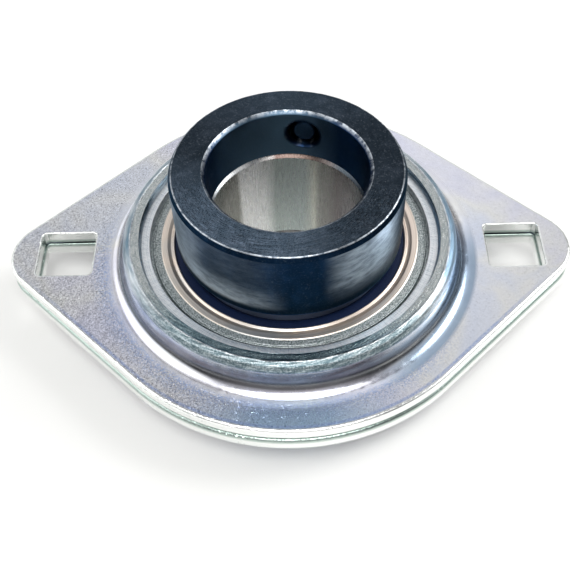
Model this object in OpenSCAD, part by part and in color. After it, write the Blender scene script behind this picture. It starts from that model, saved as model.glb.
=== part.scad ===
// Two-bolt flange mount bearing: a pressed-steel flange in two halves clamps
// a self-aligning insert bearing with an eccentric locking collar.
// Millimetres. The origin is the centre of the bearing's sphere, +Z runs
// along the shaft towards the collar, and +X runs towards one bolt hole.

/* [Flange] */
// Length over the two tips
flange_len = 113; // [106:0.5:130]
// Width of the round middle
flange_w = 84; // [79:0.5:96]
// Radius of each tip
tip_r = 9.2; // [6:0.1:14]
// Thickness of one pressed sheet
sheet_t = 2.8; // [2:0.1:4]
// Gap between the two halves before the bolts close it
sheet_gap = 0.6; // [0.1:0.1:1.5]
// Distance between the two bolt holes
bolt_spacing = 90.5; // [87:0.5:94]
// Side of each square bolt hole
hole_side = 11; // [9:0.1:13]
// Corner radius of each square bolt hole
hole_corner_r = 0.8; // [0.3:0.1:2]
// Distance from the middle plane to the sheared lip of the dome
lip_z = 9.4; // [8:0.1:12]
// Bevel on the outer edge of the lip
lip_bevel = 0.6; // [0.1:0.1:1]
// Radius of the blend between sheet and dome, outside
blend_r = 3; // [1:0.1:4]
// Radius of the blend between sheet and dome, on the mating side
mating_r = 1.6; // [0.8:0.1:2.4]
// Running clearance between the seat and the outer ring
seat_gap = 0.05; // [0.02:0.01:0.1]

/* [Bearing rings] */
// Diameter of the spherical outer ring
outer_d = 62; // [60:1:65]
// Width of the outer ring
outer_w = 16; // [15:0.5:18]
// Radius of the outer ring beside its ball groove
outer_land_r = 26; // [25.5:0.1:26.5]
// Radius of the recess that holds each shield
recess_r = 27.6; // [27:0.1:28]
// Bevel on the edges of the outer ring
outer_bevel = 0.4; // [0.2:0.1:1]
// Bore diameter of the inner ring
bore_d = 30; // [25:1:34]
// Radius of the inner ring beside its ball groove
shoulder_r = 20.1; // [19.5:0.1:20.8]
// Length of the inner ring behind the middle plane
inner_rear = 9; // [8:0.5:14]
// Length of the inner ring in front of the middle plane
inner_front = 14.8; // [12:0.1:18]
// Height where the round shoulder ends and the eccentric journal starts
journal_z = 9.7; // [9:0.1:9.9]
// Radius of the eccentric journal
journal_r = 19; // [18:0.1:19.3]
// Offset of the eccentric journal from the shaft axis
eccentricity = 0.8; // [0.4:0.1:1]
// Bevel on the ends of the inner ring's bore
inner_bevel = 0.9; // [0.2:0.1:1.2]

/* [Balls and cage] */
// Number of balls
ball_n = 9; // [7:1:10]
// Ball diameter
ball_d = 9.525; // [8:0.005:10]
// Radial clearance between a ball and each groove
ball_gap = 0.02; // [0.01:0.01:0.05]
// Groove radius as a multiple of the ball radius
groove_ratio = 1.04; // [1.02:0.01:1.08]
// Thickness of the cage sheet
cage_t = 0.5; // [0.3:0.05:0.8]
// Radial width of the cage
cage_w = 3.6; // [2.5:0.1:4.5]
// Clearance between a ball and its cage pocket
pocket_gap = 0.14; // [0.05:0.01:0.3]
// Radius of a cage rivet
rivet_r = 0.6; // [0.4:0.05:0.9]
// Radius of a cage rivet's head
rivet_head_r = 1.1; // [0.8:0.05:1.6]

/* [Shields and seals] */
// Thickness of the stamped shield
shield_t = 0.5; // [0.3:0.05:0.8]
// Height of the shield's outer rim
shield_rim_z = 6.4; // [6:0.1:7]
// Height of the shield's raised band
shield_band_z = 7.4; // [7.2:0.1:7.8]
// Height of the shield's inner band
shield_inner_z = 7.1; // [6.8:0.1:7.2]
// Radius where the shield's metal ends inside the seal
shield_hole_r = 21.6; // [21:0.1:22.5]
// Radial clearance of the seal's lip on the inner ring
lip_gap = 0.05; // [0.02:0.01:0.2]

/* [Locking collar] */
// Diameter of the collar
collar_d = 44; // [42:0.5:50]
// Height of the collar's lower face
collar_z0 = 10; // [9.8:0.1:12]
// Height of the collar's top face
collar_z1 = 26; // [24.5:0.1:28]
// Radial clearance of the collar's bore on the shaft
collar_bore_gap = 0.1; // [0.05:0.05:0.5]
// Radial clearance between the collar and the eccentric journal
journal_gap = 0.3; // [0.1:0.05:0.5]
// Width of the bevel on the collar's outer edges
collar_bevel = 0.5; // [0.2:0.1:1.5]
// Height of the bevel on the collar's top edge
collar_bevel_h = 1; // [0.2:0.1:1.5]
// Bevel at the mouth of the collar's bore
collar_mouth = 0.7; // [0.3:0.1:1.2]
// Angle of the set screw about the shaft, from +X
screw_angle = 78; // [0:1:359]
// Height of the set screw's axis
screw_z = 20.5; // [18.5:0.1:22.5]
// Set screw diameter
screw_d = 6; // [5:1:8]
// Set screw length
screw_len = 5.8; // [4:0.1:8]
// Diameter of the set screw's point
screw_point_d = 4.3; // [3:0.1:5]
// Hex socket size across flats
screw_hex = 3; // [2.5:0.5:4]
// Distance of the screw's point from the shaft surface
screw_rest = 0.9; // [0:0.1:3]
// Angle of the blind drift hole about the shaft, from +X
drift_angle = 150; // [0:1:359]
// Diameter of the drift hole
drift_d = 5; // [3:0.5:6]
// Depth of the drift hole
drift_depth = 3.5; // [2:0.1:5]

/* [Hidden] */

$fn = 96;
// Amount by which a cutter passes the surface that it cuts
over = 1;
// Amount that keeps two curves from meeting as exact tangents
off_tangent = 0.02;

outer_r = outer_d / 2;
bore_r = bore_d / 2;
seat_r = outer_r + seat_gap;
dome_r = seat_r + sheet_t;
face_z0 = sheet_gap / 2;
face_z1 = face_z0 + sheet_t;
// The dome's own part of the sheet ends at this radius
dome_edge_r = dome_r + blend_r + over;
mid_r = flange_w / 2;
tip_x = flange_len / 2 - tip_r;
hole_x = bolt_spacing / 2;
// Straight steps round each corner of a bolt hole
corner_steps = 4;
// Lean of the lip's bevel, as width on the dome's side over its depth
lip_lean = 0.35;

ball_r = ball_d / 2;
// The ball circle sits this far inside the middle of the two lands
pitch_shift = 0.05;
pitch_r = (outer_land_r + shoulder_r) / 2 - pitch_shift;
groove_r = ball_r * groove_ratio;
inner_groove_x = pitch_r - ball_r - ball_gap + groove_r;
outer_groove_x = pitch_r + ball_r + ball_gap - groove_r;
ball_step = 360 / ball_n;
pocket_r = ball_r + pocket_gap;

recess_z = shield_rim_z - shield_t;
// Bevel at the mouth of the shield's recess
recess_mouth = 0.2;
// Height of the shield's innermost step, which the seal grips
shield_low_z = shield_inner_z - 0.4;
// Radii of the shield's bends, from the rim inwards
shield_rim_r = recess_r - off_tangent;
shield_foot_r = recess_r - 0.6;
shield_edge_r = recess_r - 1;
shield_band_r = 25.3;
shield_slope_r = 24.2;
shield_dip_r = 23.5;
shield_step_r = 23;
shield_grip_r = 22.8;
// The shield's top line as [radius, height] points from the rim inwards
shield_line = [
    [shield_rim_r, shield_rim_z], [shield_foot_r, shield_rim_z],
    [shield_edge_r, shield_band_z - 0.2], [shield_band_r, shield_band_z],
    [shield_slope_r, shield_band_z], [shield_dip_r, shield_inner_z],
    [shield_step_r, shield_inner_z], [shield_grip_r, shield_low_z],
    [shield_hole_r, shield_low_z]
];

// How far the rubber stands above and below the shield that it grips
seal_above = 0.4;
seal_below = 0.35;
seal_out_r = shield_grip_r - 0.1;
seal_in_r = shoulder_r + 0.7;
// Height of the seal's lip and its distance from the rubber's lower side
seal_lip_h = 0.25;
seal_lip_rise = 0.25;

collar_r = collar_d / 2;
collar_bore_r = bore_r + collar_bore_gap;
pocket_top = inner_front + 0.2;
screw_r = screw_d / 2;
thread_gap = 0.04;
screw_tip_r = bore_r + screw_rest;
// Width and depth of the countersink where the screw's hole meets the bore
screw_mouth = 0.3;
screw_mouth_h = 0.7;
thread_pitch = 1;
thread_depth = 0.35;
// Share of its pitch that each thread rib takes
thread_fill = 0.98;

zinc = [0.76, 0.79, 0.86];
steel = [0.80, 0.80, 0.79];
black_oxide = [0.13, 0.15, 0.18];
shield_tan = [0.72, 0.66, 0.58];
rubber = [0.08, 0.09, 0.10];
cage_steel = [0.70, 0.68, 0.62];

// Half of the angle between the outline's straight side and the X axis
side_angle = acos((mid_r - tip_r) / tip_x);

// A polar point in the plane
function polar(r, a) = [r * cos(a), r * sin(a)];

// Corner points of a square of side s with corners of radius r
function rounded_square(s, r) = [
    for (c = [0:3], i = [0:corner_steps])
        let (a = 90 * c + 90 * i / corner_steps,
             m = polar((s / 2 - r) * sqrt(2), 90 * c + 45))
        m + polar(r, a)
];

// Points where the straight sides leave the middle and meet the tips
function side_points(sx, sy) =
    let (p = polar(mid_r - off_tangent, side_angle),
         q = polar(tip_r - off_tangent, side_angle))
    [[sx * p[0], sy * p[1]], [sx * (tip_x + q[0]), sy * q[1]]];

// Outline of one pressing: a round middle, two straight-sided ears
module outline() {
    circle(mid_r);
    for (sx = [-1, 1])
        translate([sx * tip_x, 0])
            circle(tip_r);
    polygon([
        side_points(1, 1)[0], side_points(1, 1)[1],
        side_points(1, -1)[1], side_points(1, -1)[0],
        side_points(-1, -1)[0], side_points(-1, -1)[1],
        side_points(-1, 1)[1], side_points(-1, 1)[0]
    ]);
}

// Wedge of the half plane between a blend's centre and the dome's centre
module blend_corner(cx, cz, inner) {
    polygon([[inner, 0], [cx, 0], [cx, cz], [inner, cz * inner / cx]]);
}

// Cross-section of the dome with its lip, blends and seat
module dome_section() {
    out_z = face_z1 + blend_r - off_tangent;
    out_x = sqrt(pow(dome_r + blend_r - off_tangent, 2) - pow(out_z, 2));
    in_z = face_z0 + mating_r - off_tangent;
    in_x = sqrt(pow(seat_r + mating_r - off_tangent, 2) - pow(in_z, 2));
    lip_x = sqrt(pow(dome_r, 2) - pow(lip_z, 2));
    difference() {
        union() {
            intersection() {
                circle(dome_r);
                translate([0, face_z0])
                    square([dome_r, lip_z - face_z0]);
            }
            translate([seat_r - over, face_z0])
                square([dome_edge_r - seat_r + over, sheet_t]);
            difference() {
                blend_corner(out_x, out_z, seat_r - over);
                translate([0, -over])
                    square([dome_edge_r, face_z0 + over]);
                translate([out_x, out_z])
                    circle(blend_r);
            }
        }
        circle(seat_r);
        difference() {
            blend_corner(in_x, in_z, seat_r - over);
            translate([in_x, in_z])
                circle(mating_r);
        }
        polygon([[lip_x - lip_bevel, lip_z + over],
                 [lip_x - lip_bevel, lip_z],
                 [lip_x + lip_lean * lip_bevel, lip_z - lip_bevel],
                 [lip_x + over, lip_z + over]]);
    }
}

// One pressed half of the flange, dome towards +Z
module pressing() {
    rotate_extrude()
        dome_section();
    translate([0, 0, face_z0])
        linear_extrude(sheet_t)
            difference() {
                outline();
                circle(dome_edge_r - off_tangent);
                for (sx = [-1, 1])
                    translate([sx * hole_x, 0])
                        polygon(rounded_square(hole_side, hole_corner_r));
            }
}

module front_flange() {
    color(zinc)
        pressing();
}

module rear_flange() {
    color(zinc)
        mirror([0, 0, 1])
            pressing();
}

// Cross-section of the shield's recess at one face of the outer ring
module recess_section() {
    face = outer_w / 2;
    polygon([
        [outer_land_r - over, recess_z], [recess_r, recess_z],
        [recess_r, face - recess_mouth], [recess_r + recess_mouth, face],
        [recess_r + recess_mouth, face + over],
        [outer_land_r - over, face + over]
    ]);
}

module outer_ring() {
    face = outer_w / 2;
    edge_x = sqrt(pow(outer_r, 2) - pow(face, 2));
    color(steel)
        rotate_extrude()
            difference() {
                intersection() {
                    circle(outer_r);
                    translate([outer_land_r, -face])
                        square([outer_r, outer_w]);
                }
                translate([outer_groove_x, 0])
                    circle(groove_r);
                for (s = [0, 1])
                    mirror([0, s]) {
                        recess_section();
                        polygon([[edge_x - outer_bevel, face],
                                 [edge_x + over, face - outer_bevel],
                                 [edge_x + over, face + over],
                                 [edge_x - outer_bevel, face + over]]);
                    }
            }
}

module inner_ring() {
    color(steel)
        difference() {
            union() {
                rotate_extrude()
                    difference() {
                        translate([0, -inner_rear])
                            square([shoulder_r, inner_rear + journal_z]);
                        translate([inner_groove_x, 0])
                            circle(groove_r);
                        polygon([[shoulder_r - inner_bevel, -inner_rear],
                                 [shoulder_r, inner_bevel - inner_rear],
                                 [shoulder_r + over, inner_bevel - inner_rear],
                                 [shoulder_r + over, -inner_rear - over],
                                 [shoulder_r - inner_bevel, -inner_rear - over]]);
                    }
                translate([eccentricity, 0, journal_z - over])
                    cylinder(h = inner_front - journal_z + over, r = journal_r);
            }
            translate([0, 0, -inner_rear - over])
                cylinder(h = inner_rear + inner_front + 2 * over, r = bore_r);
            for (s = [-1, 1])
                translate([0, 0, s < 0 ? -inner_rear : inner_front])
                    bore_bevel(s, bore_r, inner_bevel);
        }
}

// Cutter for the bevel at a bore's mouth on the side s of the plane z = 0
module bore_bevel(s, r, bevel) {
    mirror([0, 0, s < 0 ? 1 : 0])
        translate([0, 0, -bevel])
            cylinder(h = bevel + off_tangent, r1 = r, r2 = r + bevel + off_tangent);
}

module ball(k) {
    color(steel)
        rotate(ball_step * (k - 0.5))
            translate([pitch_r, 0, 0])
                sphere(ball_r);
}

// The ring-shaped space that the cage lies in, from z0 to z1
module cage_band(z0, z1) {
    translate([0, 0, z0])
        rotate_extrude()
            translate([pitch_r - cage_w / 2, 0])
                square([cage_w, z1 - z0]);
}

// One half of the ribbon cage, pockets towards +Z
module cage_half() {
    color(cage_steel)
        difference() {
            union() {
                cage_band(0, cage_t);
                intersection() {
                    cage_band(0, pocket_r + cage_t);
                    for (k = [1:ball_n])
                        rotate(ball_step * (k - 0.5))
                            translate([pitch_r, 0, 0])
                                sphere(pocket_r + cage_t);
                }
            }
            for (k = [1:ball_n]) {
                rotate(ball_step * (k - 0.5))
                    translate([pitch_r, 0, 0])
                        sphere(pocket_r);
                rotate(ball_step * k)
                    translate([pitch_r, 0, -over])
                        cylinder(h = cage_t + 2 * over, r = rivet_r + off_tangent);
            }
        }
}

module cage_front() {
    cage_half();
}

module cage_rear() {
    mirror([0, 0, 1])
        cage_half();
}

module cage_rivets() {
    color(cage_steel)
        for (k = [1:ball_n])
            rotate(ball_step * k)
                translate([pitch_r, 0, 0]) {
                    cylinder(h = 2 * cage_t, r = rivet_r, center = true);
                    for (s = [0, 1])
                        mirror([0, 0, s])
                            translate([0, 0, cage_t])
                                cylinder(h = cage_t, r1 = rivet_head_r, r2 = rivet_r);
                }
}

// Stamped shield with stepped bands, on the +Z side
module shield() {
    n = len(shield_line);
    color(shield_tan)
        rotate_extrude()
            polygon(concat(
                shield_line,
                [for (i = [n - 1:-1:0]) shield_line[i] - [0, shield_t]]
            ));
}

module front_shield() {
    shield();
}

module rear_shield() {
    mirror([0, 0, 1])
        shield();
}

// Rubber seal that grips the shield's inner edge, on the +Z side
module seal() {
    low_z = shield_low_z - shield_t;
    z0 = low_z - seal_below;
    z1 = shield_low_z + seal_above;
    lip_r = shoulder_r + lip_gap;
    color(rubber)
        rotate_extrude()
            polygon([
                [seal_out_r, z1], [seal_out_r, shield_low_z],
                [shield_hole_r, shield_low_z], [shield_hole_r, low_z],
                [seal_out_r, low_z], [seal_out_r, z0], [seal_in_r, z0],
                [lip_r, z0 + seal_lip_rise],
                [lip_r, z0 + seal_lip_rise + seal_lip_h],
                [seal_in_r, shield_low_z], [seal_in_r, z1]
            ]);
}

module front_seal() {
    seal();
}

module rear_seal() {
    mirror([0, 0, 1])
        seal();
}

// Places its children on a radius at the screw's height, outwards as +Z
module on_radius(angle) {
    translate([0, 0, screw_z])
        rotate(angle)
            rotate([0, 90, 0])
                children();
}

module locking_collar() {
    color(black_oxide)
        difference() {
            rotate_extrude()
                polygon([
                    [collar_bore_r - over, collar_z0],
                    [collar_r - collar_bevel, collar_z0],
                    [collar_r, collar_z0 + collar_bevel],
                    [collar_r, collar_z1 - collar_bevel_h],
                    [collar_r - collar_bevel, collar_z1],
                    [collar_bore_r - over, collar_z1]
                ]);
            translate([0, 0, collar_z0 - over])
                cylinder(h = collar_z1 - collar_z0 + 2 * over, r = collar_bore_r);
            translate([0, 0, collar_z1])
                bore_bevel(1, collar_bore_r, collar_mouth);
            translate([eccentricity, 0, collar_z0 - over])
                cylinder(h = pocket_top - collar_z0 + over, r = journal_r + journal_gap);
            on_radius(screw_angle) {
                cylinder(h = collar_r + over, r = screw_r);
                translate([0, 0, bore_r - over])
                    cylinder(h = over + screw_mouth_h,
                             r1 = screw_r + screw_mouth + over, r2 = screw_r);
            }
            on_radius(drift_angle)
                translate([0, 0, collar_r - drift_depth])
                    cylinder(h = drift_depth + over, r = drift_d / 2);
        }
}

// Hex socket set screw with thread grooves and a flat point
module set_screw() {
    r = screw_r - thread_gap;
    neck = (screw_d - screw_point_d) / 2;
    turns = floor((screw_len - neck) / thread_pitch) - 1;
    color(black_oxide)
        on_radius(screw_angle)
            translate([0, 0, screw_tip_r])
                difference() {
                    rotate_extrude()
                        polygon(concat(
                            [[0, 0], [screw_point_d / 2, 0]],
                            [for (i = [0:turns], c = [0:2])
                                [c == 1 ? r : r - thread_depth,
                                 neck + (i + c / 2) * thread_pitch * thread_fill]],
                            [[r - thread_depth, screw_len], [0, screw_len]]
                        ));
                    translate([0, 0, screw_len - screw_hex])
                        linear_extrude(screw_hex + over)
                            circle(r = screw_hex / sqrt(3), $fn = 6);
                }
}

front_flange();
rear_flange();
outer_ring();
inner_ring();
locking_collar();
set_screw();
front_shield();
rear_shield();
front_seal();
rear_seal();
cage_front();
cage_rear();
cage_rivets();
for (k = [1:ball_n])
    ball(k);
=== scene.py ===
"""Looks of a two-bolt flange mount bearing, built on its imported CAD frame.

Meshes are drawn in millimetres and scaled to metres when they become objects.
The origin is the centre of the bearing's sphere and +Z points to the collar.
"""

import math

import bmesh
import bpy
from mathutils import Matrix, Vector, geometry, noise

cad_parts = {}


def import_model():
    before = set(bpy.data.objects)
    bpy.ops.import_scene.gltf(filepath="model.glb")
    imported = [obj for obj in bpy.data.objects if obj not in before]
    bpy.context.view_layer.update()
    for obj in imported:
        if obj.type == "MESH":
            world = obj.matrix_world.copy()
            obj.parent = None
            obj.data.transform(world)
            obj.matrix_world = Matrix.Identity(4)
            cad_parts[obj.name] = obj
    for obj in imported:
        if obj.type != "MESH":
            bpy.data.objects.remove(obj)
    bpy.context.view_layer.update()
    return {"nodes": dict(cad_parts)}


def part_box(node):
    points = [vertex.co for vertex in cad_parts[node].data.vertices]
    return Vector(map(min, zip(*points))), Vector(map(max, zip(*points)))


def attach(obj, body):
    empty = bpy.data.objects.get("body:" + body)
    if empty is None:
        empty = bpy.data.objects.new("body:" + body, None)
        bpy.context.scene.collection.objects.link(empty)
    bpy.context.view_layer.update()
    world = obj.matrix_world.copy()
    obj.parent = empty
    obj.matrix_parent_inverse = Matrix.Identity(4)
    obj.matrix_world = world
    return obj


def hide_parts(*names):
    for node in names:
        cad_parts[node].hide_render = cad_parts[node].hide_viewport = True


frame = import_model()

MM = 0.001

# Flange
LENGTH = 113.0
WIDTH = 84.0
TIP_R = 9.2
SHEET = 2.8
FACE_0 = 0.3
FACE_1 = FACE_0 + SHEET
HOLE_X = 45.25
HOLE_SIDE = 11.0
HOLE_CORNER = 0.8
SEAT_R = 31.05
DOME_R = SEAT_R + SHEET
LIP_Z = 9.4
SHEARED = 1.8
BLEND_R = 3.0
MATING_R = 1.6
EDGE_ROLL = 0.55
SEAM_ROLL = 0.8
# Distances in from the rolled edge at which the flats have loops, and their edge value
FLAT_RINGS = (0.25, 0.55, 0.9)
EDGE_FADE = (0.75, 0.35, 0.0)
HOLE_ROLL = 0.3
HOLE_SEAM_ROLL = 0.25
HOLE_RIM = 0.6
# (radius, depth below the lip's top) over the sheared lip: outside, burr and face
LIP_OUTSIDE = ((32.88, 1.5), (32.72, 1.0), (32.46, 0.55), (32.1, 0.26), (31.75, 0.18),
               (31.55, 0.12))
LIP_BURR = ((31.46, 0.05), (31.36, 0.03), (31.26, 0.06))
LIP_FACE = ((31.12, 0.14), (30.7, 0.15), (30.2, 0.14))
LIP_UNEVEN = 0.05
BURR_UNEVEN = 0.11

# Bearing
OUTER_R = 31.0
FACE_Z = 8.0
LAND_R = 26.0
RECESS_R = 27.6
RECESS_Z = 5.9
SHOULDER_R = 20.1
BORE_R = 15.0
BORE_BEVEL = 0.9
INNER_REAR = -9.0
INNER_FRONT = 14.8
JOURNAL_Z = 9.7
JOURNAL_R = 19.0
ECCENTRICITY = 0.8
PITCH_R = 23.0
GROOVE_R = 4.95
GROOVE_DEPTH = 4.7825

# Collar and set screw
COLLAR_R = 22.0
COLLAR_0 = 10.0
COLLAR_1 = 26.0
COLLAR_BORE = 15.1
BEVEL_WIDE = 0.55
BEVEL_HIGH = 1.0
FOOT_BEVEL = 0.3
MOUTH_BEVEL = 0.7
POCKET_R = 19.3
POCKET_TOP = 15.0
SCREW_ANGLE = math.radians(78)
SCREW_Z = 20.5
SCREW_R = 3.0
SCREW_LENGTH = 5.8
SCREW_TIP = 15.9
# Where the cutter of the screw's hole starts, inside the bore
SCREW_FROM = 13
POINT_R = 2.15
HEX = 3.0
DRIFT_ANGLE = math.radians(150)
DRIFT_R = 2.5
DRIFT_DEPTH = 3.5

# Steps round a full turn
ROUND = 240


# Curves ---------------------------------------------------------------

def arc(cx, cy, r, start, end, steps):
    """Points on an arc, angles in degrees."""
    angles = [math.radians(start + (end - start) * i / steps) for i in range(steps + 1)]
    return [Vector((cx + r * math.cos(a), cy + r * math.sin(a))) for a in angles]


def rounded(corners, steps=4):
    """Closed profile from (x, z, radius) corners; gives (point, wear) pairs."""
    made = []
    for i, (x, z, r) in enumerate(corners):
        here = Vector((x, z))
        back = (Vector(corners[i - 1][:2]) - here).normalized()
        on = (Vector(corners[(i + 1) % len(corners)][:2]) - here).normalized()
        if r == 0:
            made.append((here, 0.0))
            continue
        half = back.angle(on) / 2
        centre = here + (back + on).normalized() * (r / math.sin(half))
        first = here + back * (r / math.tan(half)) - centre
        last = here + on * (r / math.tan(half)) - centre
        turn = -first.angle_signed(last)
        for k in range(steps + 1):
            spoke = first.copy()
            spoke.rotate(Matrix.Rotation(turn * k / steps, 2))
            made.append((centre + spoke, math.sin(math.pi * k / steps)))
    return made


def offset_radius(r, shift, a):
    """Distance from the axis at angle a to a circle of radius r moved along +X."""
    return shift * math.cos(a) + math.sqrt(r * r - (shift * math.sin(a)) ** 2)


# Meshes ---------------------------------------------------------------

def skin(bm, loops):
    """Joins each closed loop of vertices to the next one with faces."""
    for low, high in zip(loops, loops[1:]):
        for i in range(len(low)):
            j = (i + 1) % len(low)
            bm.faces.new((low[i], low[j], high[j], high[i]))


def lathe(profile, shifted=None):
    """Closed ring from (point, wear) pairs. shifted(point) gives a circle's offset."""
    bm = bmesh.new()
    wear_and_highlight = bm.verts.layers.float.new("wear_and_highlight")
    rings = []
    for s in range(ROUND):
        a = 2 * math.pi * s / ROUND
        ring = []
        for point, worn_and_lit in profile:
            r, z = point
            if shifted:
                r = offset_radius(r, shifted(point), a)
            v = bm.verts.new((r * math.cos(a), r * math.sin(a), z))
            v[wear_and_highlight] = worn_and_lit
            ring.append(v)
        rings.append(ring)
    for s in range(ROUND):
        this, after = rings[s], rings[(s + 1) % ROUND]
        for i in range(len(profile)):
            j = (i + 1) % len(profile)
            bm.faces.new((this[i], this[j], after[j], after[i]))
    bmesh.ops.recalc_face_normals(bm, faces=bm.faces)
    return bm


def piece(name, bm, material, body, nodes, sharp=38):
    """Turns a bmesh in millimetres into a finished object on its body."""
    mesh = bpy.data.meshes.new(name)
    bm.to_mesh(mesh)
    bm.free()
    mesh.transform(Matrix.Scale(MM, 4))
    mesh.materials.append(material)
    mesh.shade_smooth()
    mesh.set_sharp_from_angle(angle=math.radians(sharp))
    obj = bpy.data.objects.new(name, mesh)
    bpy.context.scene.collection.objects.link(obj)
    smooth = obj.modifiers.new("flat faces stay flat", "WEIGHTED_NORMAL")
    smooth.keep_sharp = True
    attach(obj, body)
    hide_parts(*nodes)


def cut(bm, cutters):
    """Takes the cutters' volumes out of bm."""
    def as_object(part):
        mesh = bpy.data.meshes.new("part")
        part.to_mesh(mesh)
        part.free()
        obj = bpy.data.objects.new("part", mesh)
        bpy.context.scene.collection.objects.link(obj)
        return obj

    whole = as_object(bm)
    tools = [as_object(c) for c in cutters]
    for tool in tools:
        mod = whole.modifiers.new("cut", "BOOLEAN")
        mod.operation = "DIFFERENCE"
        mod.solver = "EXACT"
        mod.object = tool
    graph = bpy.context.evaluated_depsgraph_get()
    result = bmesh.new()
    result.from_mesh(whole.evaluated_get(graph).to_mesh())
    for obj in [whole, *tools]:
        bpy.data.objects.remove(obj)
    return result


def spindle(profile, steps, place):
    """Closed solid of revolution from (r, z) points that start and end on the axis."""
    bm = bmesh.new()
    bm.verts.layers.float.new("wear_and_highlight")
    first = bm.verts.new((0, 0, profile[0][1]))
    last = bm.verts.new((0, 0, profile[-1][1]))
    rings = []
    for s in range(steps):
        a = 2 * math.pi * s / steps
        rings.append([bm.verts.new((r * math.cos(a), r * math.sin(a), z))
                      for r, z in profile[1:-1]])
    for s in range(steps):
        this, after = rings[s], rings[(s + 1) % steps]
        bm.faces.new((first, after[0], this[0]))
        for i in range(len(this) - 1):
            bm.faces.new((this[i], after[i], after[i + 1], this[i + 1]))
        bm.faces.new((this[-1], after[-1], last))
    bmesh.ops.recalc_face_normals(bm, faces=bm.faces)
    bm.transform(place)
    return bm


def radial(angle, z):
    """Places +Z of a part along the outward radius at this angle and height."""
    return (Matrix.Translation((0, 0, z)) @ Matrix.Rotation(angle, 4, "Z")
            @ Matrix.Rotation(math.pi / 2, 4, "Y"))


# Flange ---------------------------------------------------------------

def outline():
    """(point, outward normal) pairs round the flange, anticlockwise."""
    tip_x = LENGTH / 2 - TIP_R
    side = math.degrees(math.acos((WIDTH / 2 - TIP_R) / tip_x))
    parts = [
        (tip_x, TIP_R, -side, side, 14),
        (0, WIDTH / 2, side, 180 - side, 56),
        (-tip_x, TIP_R, 180 - side, 180 + side, 14),
        (0, WIDTH / 2, 180 + side, 360 - side, 56),
    ]
    pairs = []
    for cx, r, start, end, steps in parts:
        unit = arc(0, 0, 1, start, end, steps)
        pairs += [(Vector((cx, 0)) + u * r, u) for u in unit]
    return with_sides(pairs, 1.6)


def with_sides(pairs, step):
    """Adds points along the straight runs, where the normal doesn't turn."""
    made = []
    for (p, n), (q, m) in zip(pairs, pairs[1:] + pairs[:1]):
        made.append((p, n))
        if (n - m).length < 1e-4:
            count = int((q - p).length / step)
            made += [(p.lerp(q, k / count), n) for k in range(1, count)]
    return made


def square_hole(cx):
    """(point, normal into the sheet) pairs round a square bolt hole."""
    pairs = []
    half = HOLE_SIDE / 2 - HOLE_CORNER
    for c in range(4):
        mid = Vector((1, 0)) if c in (0, 3) else Vector((-1, 0))
        mid.y = 1 if c in (0, 1) else -1
        for u in arc(0, 0, 1, 90 * c, 90 * c + 90, 5):
            pairs.append((Vector((cx, 0)) + mid * half + u * HOLE_CORNER, u))
    return with_sides(pairs, 1.5)


def edge_levels(roll_front, roll_back):
    """(inset, height) steps over the sheet's cut edge, mating side first."""
    back = arc(roll_back, FACE_0 + roll_back, roll_back, 270, 180, 4)
    front = arc(roll_front, FACE_1 - roll_front, roll_front, 180, 90, 5)
    return [tuple(p) for p in back + front]


def strips(bm, pairs, inwards, levels, edge, values):
    """Skins levels of (inset, height) along a loop; gives the loops' vertices."""
    loops = []
    for (inset, z), value in zip(levels, values):
        loop = []
        for p, n in pairs:
            q = p + n * inset * inwards
            v = bm.verts.new((q.x, q.y, z))
            v[edge] = value
            loop.append(v)
        loops.append(loop)
    skin(bm, loops)
    return loops


def fill(bm, outer, holes):
    """Fills a flat region between an outer loop and hole loops."""
    loops = [outer, *holes]
    verts = [v for loop in loops for v in loop]
    flat = [Vector((v.co.x, v.co.y)) for v in verts]
    faces, start = [], 0
    for loop in loops:
        faces.append(list(range(start, start + len(loop))))
        start += len(loop)
    edges = [(f[i], f[(i + 1) % len(f)]) for f in faces for i in range(len(f))]
    made = geometry.delaunay_2d_cdt(flat, edges, [], 1, 1e-7)
    points, tris, origin = made[0], made[2], made[3]
    in_hole = [polygon_test([flat[i] for i in f]) for f in faces[1:]]
    for tri in tris:
        mid = sum((points[i] for i in tri), Vector((0, 0))) / 3
        if not any(test(mid) for test in in_hole):
            bm.faces.new([verts[origin[i][0]] for i in tri])


def polygon_test(loop):
    """A function that says if a point lies inside a closed loop."""
    def test(p):
        odd = False
        for a, b in zip(loop, loop[1:] + loop[:1]):
            if (a.y > p.y) != (b.y > p.y):
                odd ^= p.x < a.x + (p.y - a.y) * (b.x - a.x) / (b.y - a.y)
        return odd
    return test


def dome_profile():
    """(point, part) pairs of the dome's section, from the front flat to the mating flat."""
    out_z = FACE_1 + BLEND_R
    out_x = math.sqrt((DOME_R + BLEND_R) ** 2 - out_z ** 2)
    lean = math.degrees(math.atan2(out_z, out_x))
    in_z = FACE_0 + MATING_R
    in_x = math.sqrt((SEAT_R + MATING_R) ** 2 - in_z ** 2)
    tuck = math.degrees(math.atan2(in_z, in_x))
    top = math.degrees(math.asin((LIP_Z - SHEARED) / DOME_R))
    seat_top = math.degrees(math.asin((LIP_Z - 0.15) / SEAT_R))
    inner_x = math.sqrt(SEAT_R ** 2 - LIP_Z ** 2)
    made = [(p, "sheet") for p in arc(out_x, out_z, BLEND_R, 270, 180 + lean, 16)]
    made += [(p, "sheet") for p in arc(0, 0, DOME_R, lean, top, 10)[1:]]
    face = (*LIP_FACE, (inner_x + 0.22, 0.13), (inner_x + 0.05, 0.17))
    for points, part in ((LIP_OUTSIDE, "sheared"), (LIP_BURR, "burr"), (face, "sheared")):
        made += [(Vector((x, LIP_Z - below)), part) for x, below in points]
    made += [(p, "seat") for p in arc(0, 0, SEAT_R, seat_top, tuck, 12)]
    made += [(p, "seat") for p in arc(in_x, in_z, MATING_R, 180 + tuck, 270, 6)[1:]]
    return made


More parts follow.
